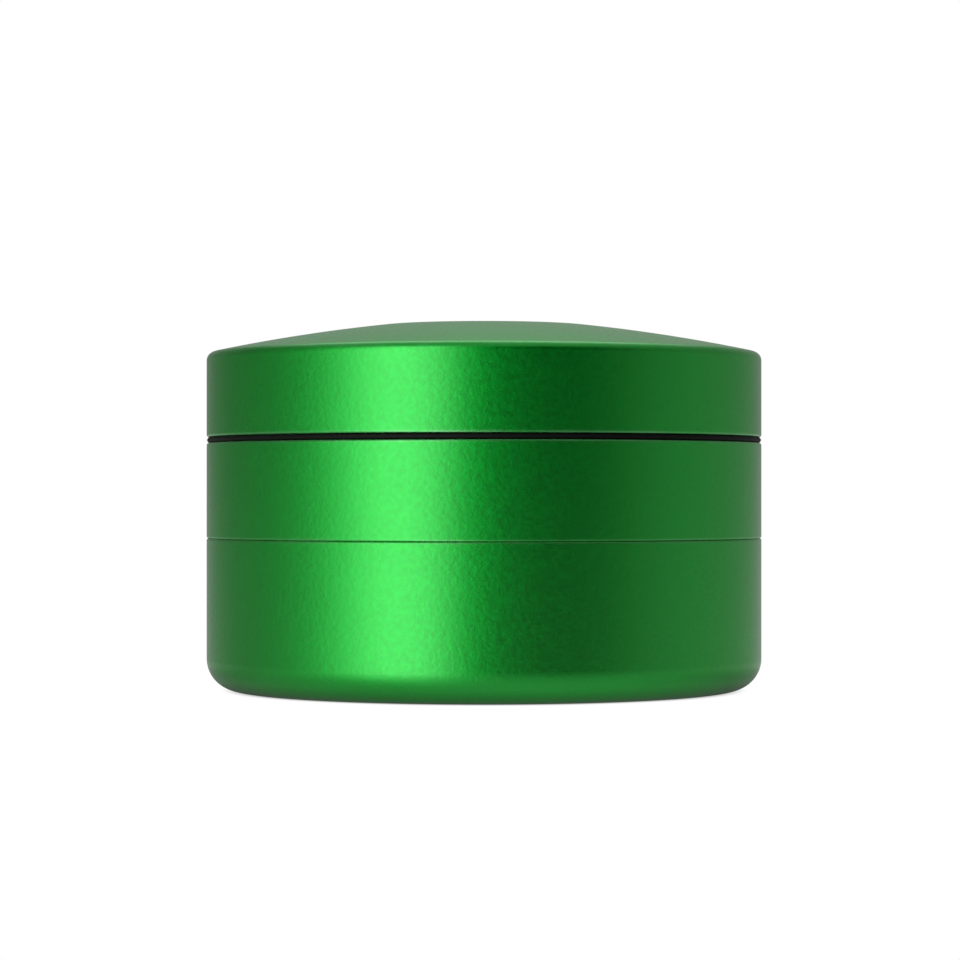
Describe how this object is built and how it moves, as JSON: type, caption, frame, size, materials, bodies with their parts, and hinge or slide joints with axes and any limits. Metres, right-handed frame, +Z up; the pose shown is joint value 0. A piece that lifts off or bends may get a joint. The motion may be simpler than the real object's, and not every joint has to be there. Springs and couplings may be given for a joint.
{
  "type": "herb grinder",
  "caption": "Round hand grinder for dried herbs: a domed toothed lid turns on a toothed chamber that screws into a catch bowl with a drop-in sieve.",
  "frame": {"origin": "centre of the base, on the surface that the grinder stands on", "axes": "+Z up along the common axis of the lid, chamber and bowl; +X and +Y are free, and +X runs between teeth at rest"},
  "size_m": [0.063, 0.063, 0.0413],
  "materials": {
    "green_anodised": "satin green anodised, fine blasted",
    "plain_aluminium": "turned, bare",
    "stainless_mesh": "woven wire",
    "seal_rubber": "matt",
    "magnet_plating": "nickel plated",
    "glide_plastic": "smooth, black"
  },
  "bodies": {
    "bowl": {"catch_bowl": "green_anodised"},
    "sieve": {"sieve_frame": "plain_aluminium", "sieve_mesh": "stainless_mesh", "sieve_clamp_ring": "plain_aluminium", "sieve_seal": "seal_rubber"},
    "seal": {"thread_seal": "seal_rubber"},
    "chamber": {"grinding_chamber": "green_anodised", "chamber_floor": "green_anodised", "chamber_teeth_outer": "green_anodised", "chamber_teeth_inner": "green_anodised", "chamber_magnet": "magnet_plating"},
    "glide": {"glide_ring": "glide_plastic"},
    "lid": {"lid": "green_anodised", "lid_teeth_outer": "green_anodised", "lid_teeth_inner": "green_anodised", "lid_magnet": "magnet_plating"}
  },
  "joints": [
    {"name": "sieve_lift", "type": "slide", "parent": "bowl", "child": "sieve", "axis": [0, 0, 1], "range_m": [0, 0.0105]},
    {"name": "chamber_rise", "type": "slide", "parent": "bowl", "child": "seal", "axis": [0, 0, 1], "range_m": [0, 0.005]},
    {"name": "chamber_unscrew", "type": "hinge", "parent": "seal", "child": "chamber", "pos_m": [0, 0, 0.0165], "axis": [0, 0, 1], "range_deg": [0, 1200]},
    {"name": "lid_lift", "type": "slide", "parent": "chamber", "child": "glide", "axis": [0, 0, 1], "range_m": [0, 0.04]},
    {"name": "lid_turn", "type": "hinge", "parent": "glide", "child": "lid", "pos_m": [0, 0, 0.0286], "axis": [0, 0, 1], "continuous": true}
  ],
  "couplings": [
    {"joint": "chamber_rise", "follows": "chamber_unscrew", "m_per_rad": 0.00023873}
  ]
}
